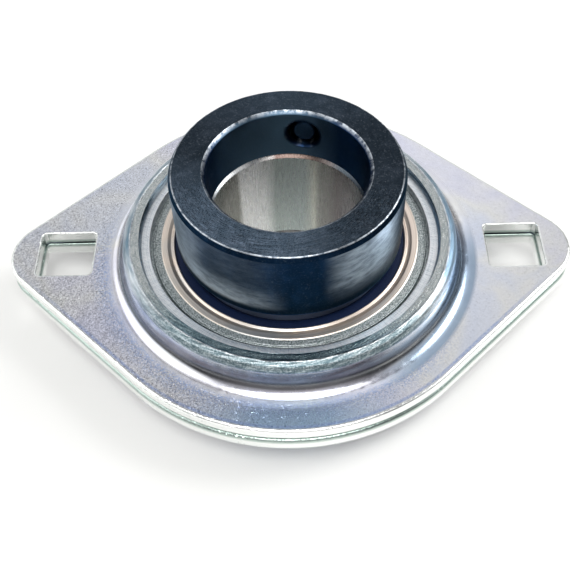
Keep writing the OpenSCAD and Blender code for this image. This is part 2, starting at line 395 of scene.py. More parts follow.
def pressing(side, seed):
    """One half of the flange; side is 1 for the front half and -1 for the rear."""
    bm = bmesh.new()
    edge = bm.verts.layers.float.new("edge")
    wear_and_highlight = bm.verts.layers.float.new("wear_and_highlight")
    shear = bm.verts.layers.float.new("shear")
    levels = edge_levels(EDGE_ROLL, SEAM_ROLL)
    front = [(EDGE_ROLL + ring, FACE_1) for ring in FLAT_RINGS]
    back = [(SEAM_ROLL + ring, FACE_0) for ring in reversed(FLAT_RINGS)]
    values = [*reversed(EDGE_FADE), *[1.0] * len(levels), *EDGE_FADE]
    steps = back + levels + front
    rim = strips(bm, outline(), -1, steps, edge, values)
    hole_levels = edge_levels(HOLE_ROLL, HOLE_SEAM_ROLL)
    hole_steps = ([(HOLE_SEAM_ROLL + HOLE_RIM, FACE_0)] + hole_levels
                  + [(HOLE_ROLL + inset, FACE_1) for inset in (FLAT_RINGS[0], HOLE_RIM)])
    hole_values = [0.0] + [1.0] * len(hole_levels) + [0.5, 0.0]
    holes = [strips(bm, square_hole(s * HOLE_X), 1, hole_steps, edge, hole_values)
             for s in (1, -1)]

    rings = []
    for p, part in dome_profile():
        ring = []
        uneven = {"sheared": LIP_UNEVEN, "burr": BURR_UNEVEN}.get(part, 0.0)
        for s in range(ROUND):
            a = 2 * math.pi * s / ROUND
            spot = Vector((math.cos(a) * 9, math.sin(a) * 9, seed + p.x * 1.3))
            lift = uneven * (noise.noise(spot * 2.3) + 0.7 * noise.noise(spot * 7))
            r = p.x + uneven * noise.noise(spot * 4 + Vector((5, 5, 5)))
            v = bm.verts.new((r * math.cos(a), r * math.sin(a), min(p.y + lift, LIP_Z)))
            v[wear_and_highlight] = 1.0 if part == "burr" else 0.0
            v[shear] = 1.0 if part in ("sheared", "burr") else 0.0
            ring.append(v)
        rings.append(ring)
    skin(bm, rings)

    fill(bm, rim[-1], [holes[0][-1], holes[1][-1], rings[0]])
    fill(bm, rim[0], [holes[0][0], holes[1][0], rings[-1]])
    bmesh.ops.recalc_face_normals(bm, faces=bm.faces)
    if side < 0:
        bm.transform(Matrix.Scale(-1, 4, (0, 0, 1)))
        bmesh.ops.reverse_faces(bm, faces=bm.faces)
    return bm


# Bearing --------------------------------------------------------------

def mirrored(half):
    """A profile for z >= 0 and its mirror image, joined into one closed loop."""
    return half + [(Vector((p.x, -p.y)), w) for p, w in half[-2:0:-1]]


def outer_ring():
    """Outer ring: a sphere outside, a ball groove, a land and the shield's recess inside."""
    edge_x = math.sqrt(OUTER_R ** 2 - FACE_Z ** 2)
    centre = PITCH_R + GROOVE_DEPTH - GROOVE_R
    reach = math.degrees(math.acos((LAND_R - centre) / GROOVE_R))
    lean = math.degrees(math.asin((FACE_Z - 0.62) / OUTER_R))
    half = [(p, 0.0) for p in arc(centre, 0, GROOVE_R, 0, reach, 8)]
    half += [
        (Vector((LAND_R, RECESS_Z - 0.15)), 0.0),
        (Vector((LAND_R + 0.15, RECESS_Z)), 0.0),
        (Vector((RECESS_R, RECESS_Z)), 0.0),
        (Vector((RECESS_R, FACE_Z - 0.16)), 0.0),
        # the edges marked 1.0 and 0.6 here get a painted highlight from the ring steel
        (Vector((RECESS_R + 0.03, FACE_Z - 0.06)), 1.0),
        (Vector((RECESS_R + 0.12, FACE_Z)), 1.0),
        (Vector((RECESS_R + 0.2, FACE_Z)), 0.0),
        (Vector((edge_x - 0.75, FACE_Z)), 0.0),
        (Vector((edge_x - 0.6, FACE_Z - 0.05)), 0.6),
        (Vector((edge_x - 0.3, FACE_Z - 0.3)), 0.0),
    ]
    half += [(p, 0.0) for p in arc(0, 0, OUTER_R, lean, 0, 14)]
    return lathe(mirrored(half))


def on_bore_bevel(p):
    """Whether a point lies on a bevel at one of the inner ring's ends."""
    inside = BORE_R + 0.01 < p.x < BORE_R + BORE_BEVEL + 0.1
    return inside and not INNER_REAR + BORE_BEVEL < p.y < INNER_FRONT - BORE_BEVEL


def inner_ring():
    """Inner ring with a shoulder, a ball groove and an eccentric journal."""
    centre = PITCH_R - GROOVE_DEPTH + GROOVE_R
    reach = math.degrees(math.acos((centre - SHOULDER_R) / GROOVE_R))
    groove = [(p, 0.0) for p in arc(centre, 0, GROOVE_R, 180 + reach, 180 - reach, 16)]
    body = rounded([
        (SHOULDER_R, JOURNAL_Z, 0.3), (JOURNAL_R, JOURNAL_Z, 0), (JOURNAL_R, INNER_FRONT, 0.3),
        (BORE_R + BORE_BEVEL, INNER_FRONT, 0.12), (BORE_R, INNER_FRONT - BORE_BEVEL, 0.12),
        (BORE_R, INNER_REAR + BORE_BEVEL, 0.12), (BORE_R + BORE_BEVEL, INNER_REAR, 0.12),
        (SHOULDER_R, INNER_REAR, 0.6),
    ])
    body = [(p, 1.0 if on_bore_bevel(p) else 0.0) for p, _ in body]

    def shifted(p):
        on_journal = p.y >= JOURNAL_Z and BORE_R + 1 < p.x <= JOURNAL_R
        return ECCENTRICITY if on_journal else 0.0

    return lathe(groove + body, shifted)


def locking_collar():
    """Collar with an eccentric pocket, a set-screw hole and a blind drift hole."""
    body = rounded([
        (COLLAR_R - FOOT_BEVEL, COLLAR_0, 0.1), (COLLAR_R, COLLAR_0 + FOOT_BEVEL, 0.15),
        (COLLAR_R, COLLAR_1 - BEVEL_HIGH, 0.2), (COLLAR_R - BEVEL_WIDE, COLLAR_1, 0.4),
        (COLLAR_BORE + MOUTH_BEVEL, COLLAR_1, 0.2), (COLLAR_BORE, COLLAR_1 - MOUTH_BEVEL, 0.3),
        (COLLAR_BORE, POCKET_TOP, 0.1), (POCKET_R, POCKET_TOP, 0),
        (POCKET_R, COLLAR_0, 0.3),
    ])

    def wear_and_highlight(p, rounding):
        if p.y < COLLAR_1 - 0.25:
            return 0.0
        return 1.0 if p.x < COLLAR_BORE + 0.68 else rounding

    def shifted(p):
        in_pocket = p.y <= POCKET_TOP and BORE_R + 1 < p.x <= POCKET_R + 0.35
        return ECCENTRICITY if in_pocket else 0.0

    body = [(p, wear_and_highlight(p, w)) for p, w in body]
    screw_hole = spindle(
        [(0, SCREW_FROM), (SCREW_R + 0.42 + (COLLAR_BORE - SCREW_FROM), SCREW_FROM),
         (SCREW_R + 0.42, COLLAR_BORE),
         (SCREW_R, 15.7), (SCREW_R, COLLAR_R - 0.4), (SCREW_R + 0.3, COLLAR_R - 0.1),
         (SCREW_R + 1.4, COLLAR_R + 1), (0, COLLAR_R + 1)],
        48, radial(SCREW_ANGLE, SCREW_Z))
    floor = COLLAR_R - DRIFT_DEPTH
    drift_hole = spindle(
        [(0, floor - 0.9), (DRIFT_R, floor), (DRIFT_R, COLLAR_R - 0.45),
         (DRIFT_R + 1.35, COLLAR_R + 1), (0, COLLAR_R + 1)],
        48, radial(DRIFT_ANGLE, SCREW_Z))
    return cut(lathe(body, shifted), [screw_hole, drift_hole])


def set_screw():
    """Set screw with a helical thread, a flat point and a hex socket."""
    steps = 72
    pitch = 1.0
    depth = 0.4
    radius = SCREW_R - 0.05
    across = HEX / 2
    rows = 64
    bm = bmesh.new()
    bm.verts.layers.float.new("wear_and_highlight")

    def ring(make):
        return [bm.verts.new(make(2 * math.pi * s / steps)) for s in range(steps)]

    def flat(r, z):
        return ring(lambda a: (r * math.cos(a), r * math.sin(a), z))

    def thread(z):
        def make(a):
            phase = (z / pitch - a / (2 * math.pi)) % 1
            fade = min(1, (z - 0.8) / 0.6, (SCREW_LENGTH - z) / 0.5)
            r = radius - depth * (1 - abs(2 * phase - 1)) * max(fade, 0)
            r = min(r, POINT_R + (z - 0.25) * 1.3)
            r = min(r, radius - 0.35 + (SCREW_LENGTH - z) * 1.2)
            return (r * math.cos(a), r * math.sin(a), z)
        return ring(make)

    def hexagon(z):
        def make(a):
            facet = (a + math.pi / 6) % (math.pi / 3) - math.pi / 6
            r = across / math.cos(facet)
            return (r * math.cos(a), r * math.sin(a), z)
        return ring(make)

    start = 0.25
    loops = [flat(0.5, 0.12), flat(POINT_R - 0.55, 0.05), flat(POINT_R - 0.35, 0),
             flat(POINT_R - 0.1, 0.02), flat(POINT_R, 0.12)]
    loops += [thread(start + (SCREW_LENGTH - start) * k / rows) for k in range(rows + 1)]
    loops += [flat(across * 1.3, SCREW_LENGTH), hexagon(SCREW_LENGTH - 0.15),
              hexagon(SCREW_LENGTH - 2.8)]
    tip = bm.verts.new((0, 0, 0.14))
    floor = bm.verts.new((0, 0, SCREW_LENGTH - 3.3))
    skin(bm, loops)
    for i in range(steps):
        j = (i + 1) % steps
        bm.faces.new((tip, loops[0][j], loops[0][i]))
        bm.faces.new((floor, loops[-1][i], loops[-1][j]))
    bmesh.ops.recalc_face_normals(bm, faces=bm.faces)
    bm.transform(radial(SCREW_ANGLE, SCREW_Z) @ Matrix.Translation((0, 0, SCREW_TIP)))
    return bm


def shield(side):
    """Stamped shield with a rolled rim and stepped bands."""
    top = [
        (27.56, 6.4, 0), (27.05, 6.4, 0.1), (26.95, 7.2, 0.12), (26.7, 7.2, 0.08),
        (26.62, 7.12, 0.05), (26.5, 7.26, 0.08), (25.45, 7.34, 0.05), (25.22, 7.46, 0.06),
        (24.2, 7.44, 0.3), (23.55, 7.14, 0.15), (23.35, 7.14, 0.08), (23.0, 7.44, 0.1),
        (22.8, 7.44, 0.1), (22.7, 6.72, 0.12), (21.6, 6.7, 0),
    ]
    under = [(27.56, 6.0, 0), (26.8, 6.0, 0.3), (26.6, 6.85, 0.1), (24.3, 6.95, 0.3),
             (23.4, 6.7, 0.2), (22.7, 6.3, 0), (21.6, 6.3, 0)][::-1]
    return lathe([(Vector((p.x, p.y * side)), w) for p, w in rounded(top + under, 3)])


def seal(side):
    """Rubber seal with a thin lip on the inner ring's shoulder."""
    corners = [
        (22.66, 6.98, 0.12), (22.66, 6.74, 0), (21.58, 6.74, 0), (21.58, 6.26, 0),
        (22.4, 6.26, 0), (22.4, 5.86, 0.1), (20.8, 5.86, 0.1), (20.16, 6.1, 0.05),
        (20.16, 6.35, 0.05), (20.75, 6.6, 0.2), (20.8, 7.1, 0.2), (21.3, 7.1, 0.2),
    ]
    return lathe([(Vector((p.x, p.y * side)), w) for p, w in rounded(corners, 3)])


# Materials ------------------------------------------------------------

def add_node(tree, kind, inputs, **settings):
    """Adds a node. An input that is a socket is linked, any other is set."""
    made = tree.nodes.new(kind)
    for key, value in settings.items():
        setattr(made, key, value)
    for key, value in inputs.items():
        if isinstance(value, bpy.types.NodeSocket):
            tree.links.new(value, made.inputs[key])
        else:
            made.inputs[key].default_value = value
    return made


class Look:
    """A node material: most methods add nodes and give an output socket."""

    def __init__(self, name, **fixed):
        self.material = bpy.data.materials.new(name)
        self.material.use_nodes = True
        self.tree = self.material.node_tree
        self.shader = self.tree.nodes["Principled BSDF"]
        for socket, value in fixed.items():
            self.shader.inputs[socket.replace("_", " ")].default_value = value
        coords = self.tree.nodes.new("ShaderNodeTexCoord").outputs["Object"]
        self.place = self.scaled(coords, 1 / MM)

    def add(self, kind, inputs, **settings):
        return add_node(self.tree, kind, inputs, **settings)

    def scaled(self, vector, factor):
        return self.add("ShaderNodeVectorMath", {0: vector, "Scale": factor},
                        operation="SCALE").outputs[0]

    def math(self, operation, a, b=0.0):
        return self.add("ShaderNodeMath", {0: a, 1: b}, operation=operation).outputs[0]

    def vector(self, operation, a, b=(0, 0, 0), out=0):
        return self.add("ShaderNodeVectorMath", {0: a, 1: b}, operation=operation).outputs[out]

    def times(self, a, b):
        return self.math("MULTIPLY", a, b)

    def plus(self, a, b):
        return self.math("ADD", a, b)

    def stretched(self, x, y, z):
        """The place in millimetres with each axis scaled by its own factor."""
        return self.vector("MULTIPLY", self.place, (x, y, z))

    def radius(self):
        """Distance from the shaft axis in millimetres."""
        return self.vector("LENGTH", self.stretched(1, 1, 0), out="Value")

    def axes(self):
        """The X, Y and Z places in millimetres."""
        return self.add("ShaderNodeSeparateXYZ", {0: self.place}).outputs

    def toward(self, facing):
        """Cosine of the angle about the shaft between the place and a facing (x, y)."""
        flat = self.vector("NORMALIZE", self.stretched(1, 1, 0))
        return self.vector("DOT_PRODUCT", flat, (*facing, 0), out="Value")

    def turned_by(self, angle, along, across):
        """Flat coordinates turned by an angle and scaled along and across it."""
        made = self.add("ShaderNodeVectorRotate", {"Vector": self.place, "Angle": angle},
                        rotation_type="Z_AXIS").outputs[0]
        return self.vector("MULTIPLY", made, (along, across, 1))

    def around(self, turns, along):
        """Coordinates that change round the axis and along it, not across it."""
        flat = self.vector("NORMALIZE", self.stretched(1, 1, 0))
        return self.vector("ADD", self.scaled(flat, turns), self.stretched(0, 0, along))

    def across(self, out, along, turns):
        """Coordinates that change with radius and height and little round the axis."""
        ring = self.add("ShaderNodeCombineXYZ", {"X": self.times(self.radius(), out)})
        return self.vector("ADD", ring.outputs[0], self.around(turns, along))

    def noise(self, scale, detail=3.0, rough=0.5, vector=None, warp=0.0):
        return self.add("ShaderNodeTexNoise", {
            "Vector": vector or self.place, "Scale": scale, "Detail": detail,
            "Roughness": rough, "Distortion": warp}).outputs["Fac"]

    def cells(self, scale, vector=None):
        """A node that splits the place into cells."""
        return self.add("ShaderNodeTexVoronoi", {"Vector": vector or self.place, "Scale": scale})

    def remap(self, value, low, high, to_low, to_high, shape="LINEAR"):
        return self.add("ShaderNodeMapRange", {
            "Value": value, "From Min": low, "From Max": high,
            "To Min": to_low, "To Max": to_high}, interpolation_type=shape).outputs[0]

    def smooth(self, value, low, high, to_low, to_high):
        """Like remap, with soft ends."""
        return self.remap(value, low, high, to_low, to_high, "SMOOTHSTEP")

    def ramp(self, value, *stops):
        """Colours between (position, colour) stops."""
        made = self.add("ShaderNodeValToRGB", {"Fac": value})
        points = made.color_ramp.elements
        while len(points) < len(stops):
            points.new(0.5)
        for point, (where, colour) in zip(points, stops):
            point.position = where
            point.color = (*colour, 1)
        return made.outputs["Color"]

    def mix(self, factor, a, b, blend="MIX"):
        made = self.add("ShaderNodeMix", {}, data_type="RGBA", blend_type=blend)
        for socket, value in (("Factor_Float", factor), ("A_Color", a), ("B_Color", b)):
            target = next(i for i in made.inputs if i.identifier == socket)
            if isinstance(value, bpy.types.NodeSocket):
                self.tree.links.new(value, target)
            else:
                target.default_value = value if socket == "Factor_Float" else (*value, 1)
        return next(o for o in made.outputs if o.identifier == "Result_Color")

    def shaded(self, colour, value, factor):
        """The colour multiplied by a value, in part."""
        grey = self.add("ShaderNodeCombineColor", {0: value, 1: value, 2: value}).outputs[0]
        return self.mix(factor, colour, grey, "MULTIPLY")

    def attribute(self, name):
        return self.add("ShaderNodeAttribute", {}, attribute_name=name).outputs["Fac"]

    def tangent(self):
        """Points the shader's grain round the shaft axis."""
        made = self.add("ShaderNodeTangent", {}, direction_type="RADIAL", axis="Z")
        self.tree.links.new(made.outputs[0], self.shader.inputs["Tangent"])

    def scattered(self, random, amount):
        """The surface normal, tilted its own way in each cell of a random colour."""
        tilt = self.scaled(self.vector("SUBTRACT", random, (0.5, 0.5, 0.5)), amount)
        normal = self.add("ShaderNodeNewGeometry", {}).outputs["Normal"]
        return self.vector("NORMALIZE", self.vector("ADD", normal, tilt))

    def bump(self, height, distance, strength=1.0, under=None):
        """A normal from a height; the distance is in millimetres."""
        inputs = {"Height": height, "Distance": distance * MM, "Strength": strength}
        if under:
            inputs["Normal"] = under
        return self.add("ShaderNodeBump", inputs).outputs[0]

    def finish(self, **sockets):
        """Links the shader's sockets and gives the material."""
        for name, value in sockets.items():
            self.tree.links.new(value, self.shader.inputs[name.replace("_", " ")])
        return self.material


def zinc(name, shift):
    """Blue-passivated zinc plate: sparkling flats, a smooth dome and a sheared lip."""
    look = Look(name, Metallic=1.0)
    place = look.vector("ADD", look.place, (shift, shift, 0))
    radius = look.radius()
    x, y, z = look.axes()
    on_wall = look.remap(radius, 34.0, 34.6, 1.0, 0.0)

    # flats: cloudy passivation, crystals, and blue beside the blend and the rim
    lively = look.times(look.remap(x, -10, 26, 1.0, 0.16),
                        look.remap(radius, 35.7, 36.6, 0.0, 1.0))
    broad = look.noise(0.045, 3, 0.55, place, 0.6)
    tint = look.ramp(
        broad,
        (0.32, (0.76, 0.77, 0.90)), (0.44, (0.84, 0.84, 0.90)), (0.52, (0.88, 0.88, 0.87)),
        (0.62, (0.80, 0.83, 0.91)), (0.74, (0.74, 0.79, 0.91)))
    grain = look.noise(3.6, 3, 0.8, place)
    fleck = look.remap(grain, 0.38, 0.62, 0.60, 1.14)
    tint = look.shaded(tint, fleck, look.times(lively, 0.6))
    speckle = look.remap(look.noise(3.4, 3, 0.8, place), 0.44, 0.56, 0.0, 1.0)
    # painted shade: the flats near the front edge are darkened and turned bluer
    front = look.times(look.remap(y, -34, -38, 0.0, 0.85),
                       look.remap(look.math("ABSOLUTE", x), 6, 22, 1.0, 0.0))
    tint = look.mix(front, tint, (0.36, 0.54, 0.74))
    beside = look.times(look.remap(radius, 37.2, 40.5, 1.0, 0.0),
                        look.remap(radius, 35.8, 36.9, 0.0, 1.0))
    beside = look.times(beside, look.remap(look.toward((-0.42, -0.91)), 0.05, 0.5, 0.0, 1.0))
    tint = look.mix(look.times(beside, speckle), tint, (0.42, 0.52, 0.76))
    glint = look.remap(look.noise(5.5, 3, 0.8, place), 0.40, 0.60, 0.55, 1.35)
    tint = look.shaded(tint, glint, look.times(lively, look.remap(y, -28, -36, 0.0, 0.8)))

    # the rim painted near white as a highlight, the gap between the halves darkened as painted
    # shade, and the blend at the right darkened as painted shade
    rim = look.attribute("edge")
    band = look.times(rim, look.math("SUBTRACT", 1.0, rim))
    band = look.times(band, look.remap(speckle, 0, 1, 1.4, 3.4))
    band = look.times(band, look.remap(y, -8, -20, 0.0, 1.0))
    tint = look.mix(band, tint, (0.34, 0.45, 0.74))
    # painted highlight: the rim's rounded and cut edges made near white
    tint = look.mix(look.remap(rim, 0.8, 1.0, 0.0, 1.0), tint, (0.97, 0.99, 0.97))
    # painted shade in the gap between the two halves
    seam_shade = look.times(look.remap(look.math("ABSOLUTE", z), 0.8, 1.3, 0.7, 0.0), rim)
    tint = look.mix(seam_shade, tint, (0.20, 0.32, 0.27))
    # painted shade: the blend at the right darkened
    thin = look.times(look.smooth(look.toward((0.88, -0.47)), 0.76, 0.94, 0.0, 0.9),
                      look.remap(radius, 37.0, 37.8, 1.0, 0.0))
    tint = look.mix(thin, tint, (0.28, 0.37, 0.48))

    # the dome's wall: painted light and shade over a cloudy tone, brighter at the sides than at the
    # front
    cloud = look.noise(1.0, 3, 0.55, look.across(0.5, 0.7, 3.0))
    wall = look.ramp(cloud, (0.34, (0.26, 0.23, 0.24)), (0.52, (0.38, 0.39, 0.42)),
                     (0.68, (0.54, 0.57, 0.58)))
    ahead = look.toward((0, -1))
    sides = look.ramp(cloud, (0.36, (0.20, 0.30, 0.38)), (0.5, (0.36, 0.44, 0.50)),
                      (0.62, (0.66, 0.72, 0.76)))
    wall = look.mix(look.remap(ahead, 0.35, 0.85, 1.0, 0.0), wall, sides)
    # painted shade: the wall darker and bluer at the right
    right = look.smooth(look.toward((0.96, -0.28)), 0.72, 0.94, 0.0, 0.95)
    wall = look.mix(right, wall, (0.24, 0.36, 0.48))
    # painted highlight: a bright stripe on the wall at the front right
    gleam = look.times(look.remap(look.toward((0.72, -0.69)), 0.93, 0.99, 0.0, 1.0),
                       look.remap(cloud, 0.36, 0.5, 0.2, 1.0))
    wall = look.mix(gleam, wall, (0.95, 0.97, 0.98))
    # painted shade: the wall darkened at its base, by the blend
    foot_shade = look.times(look.remap(radius, 33.0, 33.5, 0.0, 0.7), on_wall)
    wall = look.mix(foot_shade, wall, (0.06, 0.06, 0.065))
    tint = look.mix(on_wall, tint, wall)

    # the sheared lip: its outside, dark like steel only at the front, as painted shade; its face,
    # darkened at the front as painted shade; and its burr, painted white as a highlight
    sheared = look.attribute("shear")
    torn = look.plus(look.times(look.noise(1.0, 3, 0.7, look.across(2.6, 2.6, 16)), 0.5),
                     look.times(look.noise(3.0, 3, 0.75, place), 0.5))
    outside = look.remap(radius, 31.1, 31.3, 0.0, 1.0)
    lip_tint = look.ramp(torn, (0.42, (0.09, 0.14, 0.16)), (0.5, (0.20, 0.26, 0.28)),
                      (0.6, (0.52, 0.59, 0.61)))
    face = look.ramp(torn, (0.42, (0.42, 0.47, 0.48)), (0.58, (0.66, 0.69, 0.67)))
    # painted shade: the lip's face darker at the front
    face_shade = look.ramp(torn, (0.44, (0.08, 0.15, 0.18)), (0.58, (0.46, 0.58, 0.60)))
    face = look.mix(look.remap(look.toward((-0.15, -0.99)), 0.55, 0.85, 0.0, 1.0), face, face_shade)
    # painted shade: the lip's outside takes the dark steel colour only at the front
    lip_front_shade = look.times(outside, look.remap(ahead, 0.3, 0.75, 0.0, 1.0))
    lip_tint = look.mix(lip_front_shade, look.mix(outside, face, wall), lip_tint)
    tint = look.mix(sheared, tint, lip_tint)
    # painted highlight: the burr along the lip's inner edge painted white
    burr = look.attribute("wear_and_highlight")
    tint = look.mix(look.times(burr, look.remap(torn, 0.44, 0.56, 0.15, 0.9)), tint,
                    (0.97, 0.99, 1.0))

    # relief: crystals and grain on the flats, tear marks on the lip
    crystals = look.cells(4.0, place).outputs["Color"]
    odd = look.add("ShaderNodeSeparateColor", {0: crystals}).outputs[0]
    normal = look.scattered(crystals, look.times(lively, look.remap(odd, 0.82, 0.92, 0.16, 0.55)))
    normal = look.bump(look.times(grain, lively), 0.05, 0.5, normal)
    normal = look.bump(look.times(torn, sheared), 0.16, 0.8, normal)
    rough = look.remap(look.noise(0.8, 4, 0.65, place), 0.3, 0.7, 0.17, 0.28)
    rough = look.plus(rough, look.times(look.times(sheared, outside), 0.12))
    softened = look.times(look.smooth(radius, 35.4, 36.2, 0.0, 0.22),
                          look.smooth(radius, 36.6, 37.8, 1.0, 0.0))
    rough = look.plus(rough, softened)
    return look.finish(Base_Color=tint, Roughness=rough, Normal=normal)


def ground_steel(name):
    """Ground bearing steel with fine crossed marks and edges painted bright as highlights."""
    look = Look(name, Metallic=1.0)
    marks = look.noise(1.0, 3, 0.75, look.around(330, 0.3))
    turned = look.noise(1.0, 3, 0.6, look.across(6, 5, 2.5))
    crossed = look.noise(1.0, 3, 0.7, look.turned_by(math.radians(38), 0.35, 5.5))
    mix = look.plus(look.times(marks, 0.35), look.times(turned, 0.3))
    mix = look.plus(mix, look.times(crossed, 0.35))
    tint = look.ramp(mix, (0.40, (0.50, 0.55, 0.60)), (0.5, (0.84, 0.89, 0.92)),
                     (0.58, (1.0, 1.0, 1.0)))
    # painted highlight: marked edges near white
    tint = look.mix(look.attribute("wear_and_highlight"), tint, (0.98, 0.99, 1.0))
    rough = look.remap(mix, 0.35, 0.65, 0.30, 0.44)
    return look.finish(Base_Color=tint, Roughness=rough, Normal=look.bump(mix, 0.05, 0.6))


def bore_steel(name):
    """Inner ring steel: a honed bore whose round marks spread light lengthwise, with painted bands
    of light and shade.
    """
    look = Look(name, Metallic=1.0, Anisotropic=0.85, Anisotropic_Rotation=0.25)
    look.tangent()
    streak = look.noise(1.0, 2, 0.5, look.around(5.0, 0.02))
    fine = look.noise(1.0, 3, 0.5, look.around(60, 0.4))
    # painted light and shade: bands along the bore, from its left side to its right
    side = look.plus(look.remap(look.axes()[0], -BORE_R, BORE_R, 0.0, 1.0),
                     look.remap(streak, 0.3, 0.7, -0.03, 0.03))
    tint = look.ramp(
        side,
        (0.00, (0.20, 0.20, 0.19)), (0.14, (0.36, 0.36, 0.33)), (0.18, (1.0, 1.0, 0.98)),
        (0.29, (1.0, 1.0, 0.99)), (0.41, (0.46, 0.51, 0.49)), (0.60, (0.46, 0.51, 0.50)),
        (0.68, (0.68, 0.68, 0.61)), (0.73, (0.36, 0.36, 0.34)), (0.84, (0.24, 0.22, 0.22)),
        (1.00, (0.18, 0.19, 0.21)))
    tint = look.shaded(tint, look.remap(fine, 0.35, 0.65, 0.98, 1.03), 1.0)
    worn_and_lit = look.attribute("wear_and_highlight")
    # painted light and shade on the bevels: light at the left, dark brown in the middle, darkest at
    # the right
    bevel = look.ramp(
        side,
        (0.05, (0.62, 0.65, 0.66)), (0.30, (0.80, 0.80, 0.78)), (0.42, (0.24, 0.17, 0.15)),
        (0.66, (0.26, 0.19, 0.16)), (0.85, (0.10, 0.12, 0.14)))
    tint = look.mix(worn_and_lit, tint, bevel)
    # the journal and shoulder, outside the bore, painted dark as shade under the collar
    outside = look.remap(look.radius(), 18.0, 18.2, 0.0, 1.0)
    tint = look.mix(outside, tint, (0.16, 0.20, 0.30))
    rough = look.plus(look.remap(fine, 0.3, 0.7, 0.22, 0.32), look.times(outside, 0.2))
    honed = look.times(fine, look.math("SUBTRACT", 1.0, outside))
    return look.finish(Base_Color=tint, Roughness=rough, Normal=look.bump(honed, 0.02, 0.04))


